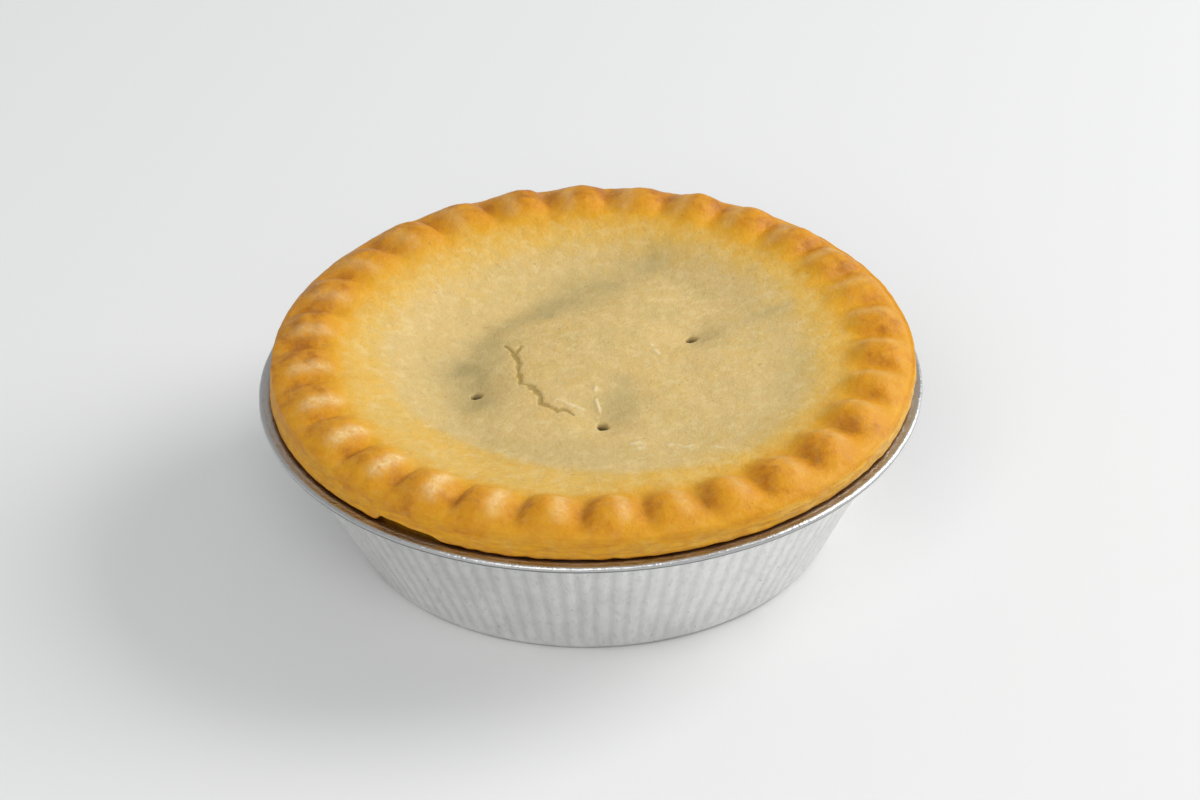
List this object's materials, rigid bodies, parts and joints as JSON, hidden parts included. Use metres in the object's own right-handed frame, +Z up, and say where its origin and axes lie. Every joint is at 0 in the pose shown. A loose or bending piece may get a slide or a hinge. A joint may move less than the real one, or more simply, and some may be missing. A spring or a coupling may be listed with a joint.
{
  "type": "beef pie in foil tray",
  "caption": "Round crimped shortcrust meat pie with a sagging, cracked lid and vent holes, in its own pleated foil tray with a rolled rim.",
  "frame": {"origin": "middle of the tray's flat underside, where it meets the table", "axes": "+Z up through the middle of the lid, -Y towards the front of the pie as pictured, +X to its right"},
  "size_m": [0.12, 0.12, 0.0389],
  "materials": {
    "pastry": "baked shortcrust pastry, golden at the crimps and pale in the middle, with a faint egg-wash sheen",
    "foil": "thin pressed aluminium foil, satin on the pleated wall and bright on the rolled rim"
  },
  "bodies": {
    "root": {"pie": "pastry", "foil_tray": "foil"}
  },
  "joints": []
}
